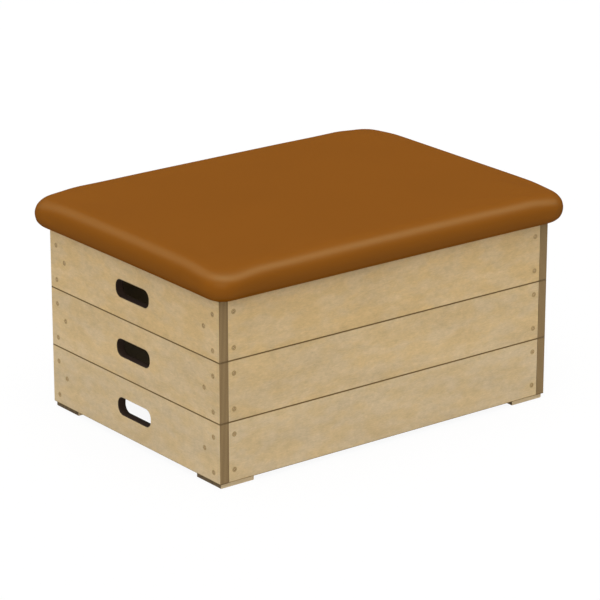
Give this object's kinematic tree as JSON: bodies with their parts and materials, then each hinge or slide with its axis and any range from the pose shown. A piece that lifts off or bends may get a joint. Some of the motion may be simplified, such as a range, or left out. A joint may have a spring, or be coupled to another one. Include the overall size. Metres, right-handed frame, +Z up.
{
  "type": "vaulting box",
  "caption": "Low sectional vaulting box: plywood tiers with hand holes that stack on corner posts, under a padded vinyl top with rounded edges, for jumping and climbing over.",
  "frame": {"origin": "on the ground under the middle of the box", "axes": "+X along the length, the long front side faces -Y, +Z up"},
  "size_m": [1.084, 0.8, 0.5503],
  "materials": {
    "birch_plywood": "satin",
    "post_hardwood": "matte",
    "foot_hardwood": "matte",
    "pad_vinyl": "satin",
    "pad_foam": "matte",
    "screw_steel": "satin"
  },
  "bodies": {
    "bottom_section": {"bottom_front_panel": "birch_plywood", "bottom_back_panel": "birch_plywood", "bottom_left_end_panel": "birch_plywood", "bottom_right_end_panel": "birch_plywood", "bottom_post_front_left": "post_hardwood", "bottom_post_front_right": "post_hardwood", "bottom_post_back_left": "post_hardwood", "bottom_post_back_right": "post_hardwood", "bottom_front_screw_left_lower": "screw_steel", "bottom_front_screw_left_upper": "screw_steel", "bottom_front_screw_right_lower": "screw_steel", "bottom_front_screw_right_upper": "screw_steel", "bottom_back_screw_left_lower": "screw_steel", "bottom_back_screw_left_upper": "screw_steel", "bottom_back_screw_right_lower": "screw_steel", "bottom_back_screw_right_upper": "screw_steel", "foot_front_left": "foot_hardwood", "foot_front_right": "foot_hardwood", "foot_back_left": "foot_hardwood", "foot_back_right": "foot_hardwood"},
    "middle_section": {"middle_front_panel": "birch_plywood", "middle_back_panel": "birch_plywood", "middle_left_end_panel": "birch_plywood", "middle_right_end_panel": "birch_plywood", "middle_post_front_left": "post_hardwood", "middle_post_front_right": "post_hardwood", "middle_post_back_left": "post_hardwood", "middle_post_back_right": "post_hardwood", "middle_front_screw_left_lower": "screw_steel", "middle_front_screw_left_upper": "screw_steel", "middle_front_screw_right_lower": "screw_steel", "middle_front_screw_right_upper": "screw_steel", "middle_back_screw_left_lower": "screw_steel", "middle_back_screw_left_upper": "screw_steel", "middle_back_screw_right_lower": "screw_steel", "middle_back_screw_right_upper": "screw_steel"},
    "top_section": {"top_front_panel": "birch_plywood", "top_back_panel": "birch_plywood", "top_left_end_panel": "birch_plywood", "top_right_end_panel": "birch_plywood", "top_post_front_left": "post_hardwood", "top_post_front_right": "post_hardwood", "top_post_back_left": "post_hardwood", "top_post_back_right": "post_hardwood", "top_front_screw_left_lower": "screw_steel", "top_front_screw_left_upper": "screw_steel", "top_front_screw_right_lower": "screw_steel", "top_front_screw_right_upper": "screw_steel", "top_back_screw_left_lower": "screw_steel", "top_back_screw_left_upper": "screw_steel", "top_back_screw_right_lower": "screw_steel", "top_back_screw_right_upper": "screw_steel", "top_front_batten": "post_hardwood", "top_back_batten": "post_hardwood", "pad_board": "birch_plywood", "pad_foam": "pad_foam", "pad_cover": "pad_vinyl"}
  },
  "joints": [
    {"name": "middle_lift", "type": "slide", "parent": "bottom_section", "child": "middle_section", "axis": [0, 0, 1], "range_m": [0, 0.2]},
    {"name": "top_lift", "type": "slide", "parent": "middle_section", "child": "top_section", "axis": [0, 0, 1], "range_m": [0, 0.2]}
  ]
}
